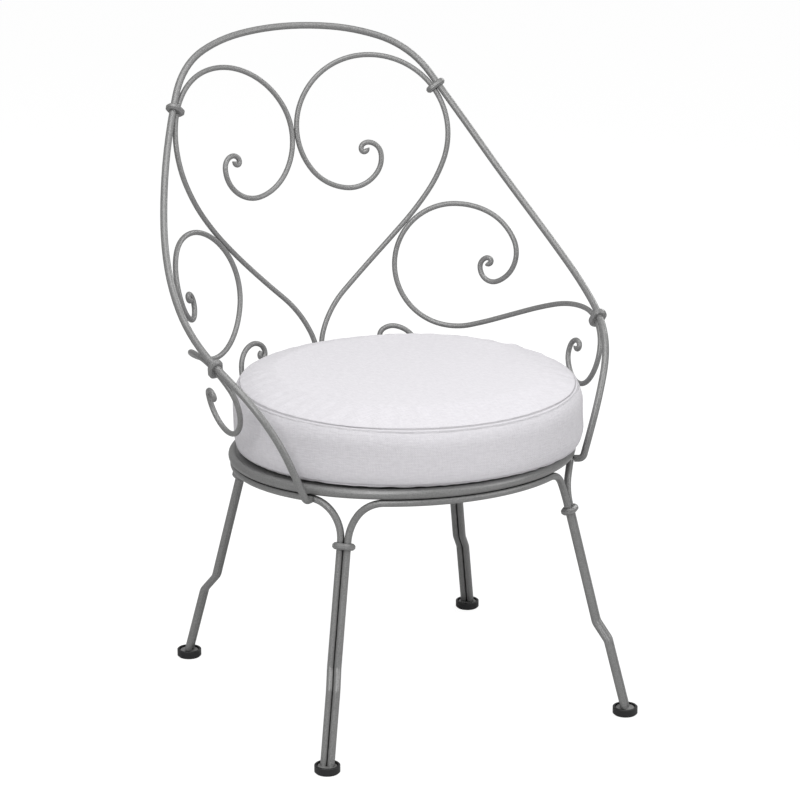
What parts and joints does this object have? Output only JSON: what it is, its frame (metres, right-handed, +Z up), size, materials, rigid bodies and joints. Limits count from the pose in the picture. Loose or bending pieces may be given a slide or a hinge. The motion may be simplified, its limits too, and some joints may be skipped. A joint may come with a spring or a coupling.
{
  "type": "garden armchair",
  "caption": "Round-seat garden armchair of bent iron bars with S-scroll back, curled arms, arched legs and a loose box seat cushion.",
  "frame": {"origin": "bottom centre of the whole chair, on the floor", "axes": "+Z up, -Y towards the front of the seat, +X towards the right arm as seen from the front with the viewer facing +Y"},
  "size_m": [0.6524, 0.69, 0.9449],
  "materials": {
    "powder_coat": "fine-textured mid-grey powder coat",
    "glide_plastic": "matt black moulded plastic",
    "cushion_fabric": "pale grey woven outdoor fabric"
  },
  "bodies": {
    "chair_frame": {"seat_ring": "powder_coat", "seat_pan": "powder_coat", "back_rail": "powder_coat", "heart_scroll_left": "powder_coat", "heart_scroll_right": "powder_coat", "side_scroll_left": "powder_coat", "side_scroll_right": "powder_coat", "leg_bar_front": "powder_coat", "leg_bar_right": "powder_coat", "leg_bar_back": "powder_coat", "leg_bar_left": "powder_coat", "leg_collar_front_left": "powder_coat", "leg_collar_front_right": "powder_coat", "leg_collar_back_left": "powder_coat", "leg_collar_back_right": "powder_coat", "back_collar_left": "powder_coat", "back_collar_right": "powder_coat", "arm_collar_left": "powder_coat", "arm_collar_right": "powder_coat", "foot_plate_front_left": "powder_coat", "foot_plate_front_right": "powder_coat", "foot_plate_back_left": "powder_coat", "foot_plate_back_right": "powder_coat", "glide_front_left": "glide_plastic", "glide_front_right": "glide_plastic", "glide_back_left": "glide_plastic", "glide_back_right": "glide_plastic"},
    "loose_cushion": {"cushion": "cushion_fabric"}
  },
  "joints": [
    {"name": "cushion_lift", "type": "slide", "parent": "chair_frame", "child": "loose_cushion", "axis": [0, 0, 1], "range_m": [0, 0.6]}
  ]
}
